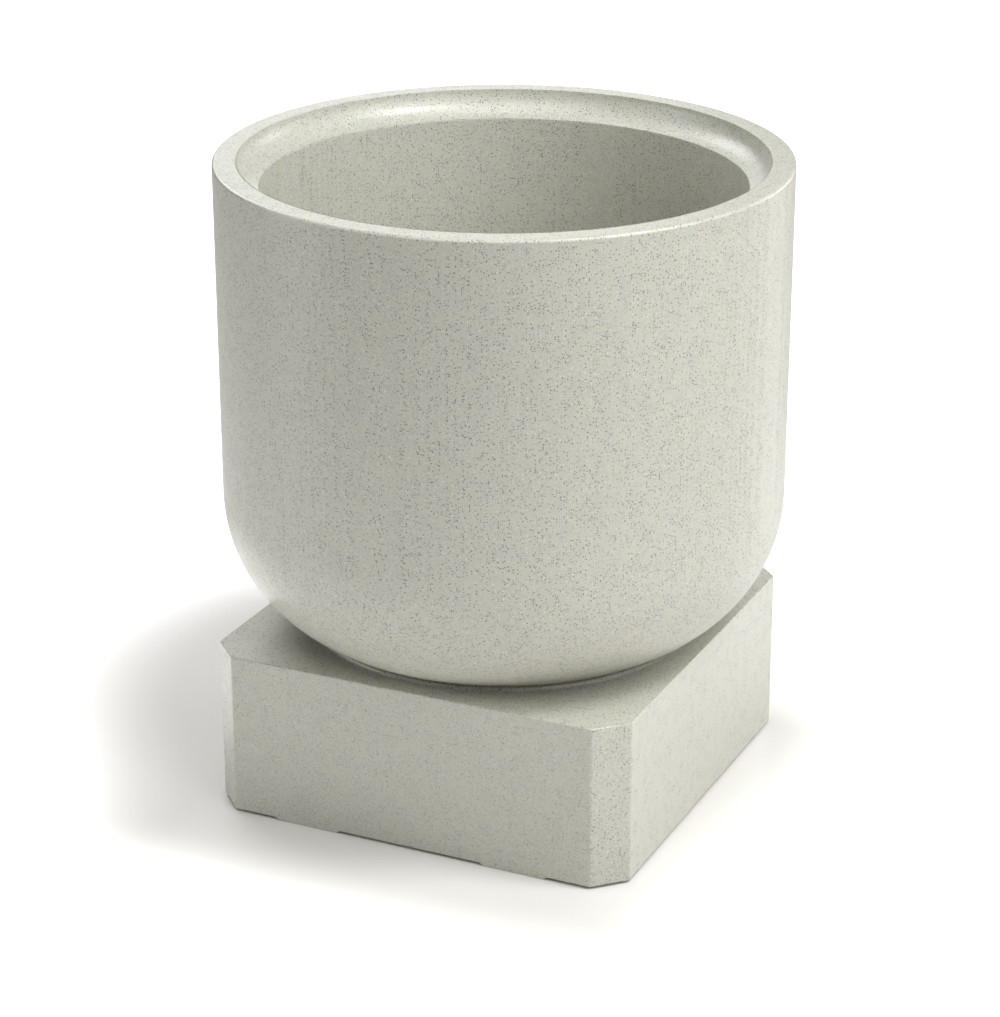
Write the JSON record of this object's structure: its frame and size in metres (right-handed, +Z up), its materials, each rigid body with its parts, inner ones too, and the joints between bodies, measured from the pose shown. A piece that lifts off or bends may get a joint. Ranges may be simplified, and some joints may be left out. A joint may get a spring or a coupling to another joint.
{
  "type": "planter",
  "caption": "Round double-walled bowl planter bolted on a low square plinth with cut corners, with a screw-plugged drain in its floor.",
  "frame": {"origin": "on the ground under the middle of the plinth, which is the middle of the bowl", "axes": "+Z up along the bowl's axis, -Y out of the plinth's front face, +X out of its right face"},
  "size_m": [0.6, 0.6, 0.69],
  "materials": {
    "stone_effect_plastic": "satin",
    "black_rubber": "matte",
    "drain_plastic": "satin",
    "stainless_steel": "satin",
    "insert_brass": "satin"
  },
  "bodies": {
    "root": {"bowl": "stone_effect_plastic", "plinth": "stone_effect_plastic", "seat_gasket": "black_rubber", "drain_bush": "drain_plastic", "drain_bush_seal": "black_rubber", "drain_backnut_washer": "black_rubber", "drain_backnut": "drain_plastic", "fixing_bolts": "stainless_steel", "fixing_washers": "stainless_steel", "seal_washers": "black_rubber", "threaded_inserts": "insert_brass", "vent_plugs": "drain_plastic"},
    "plug_seal": {"drain_plug_seal": "black_rubber"},
    "plug": {"drain_plug": "drain_plastic"}
  },
  "joints": [
    {"name": "plug_rise", "type": "slide", "parent": "root", "child": "plug_seal", "axis": [0, 0, 1], "range_m": [0, 0.015]},
    {"name": "plug_turn", "type": "hinge", "parent": "plug_seal", "child": "plug", "pos_m": [0, 0, 0.2235], "axis": [0, 0, 1], "range_deg": [0, 2160]}
  ],
  "couplings": [
    {"joint": "plug_rise", "follows": "plug_turn", "m_per_rad": 0.00039789}
  ]
}
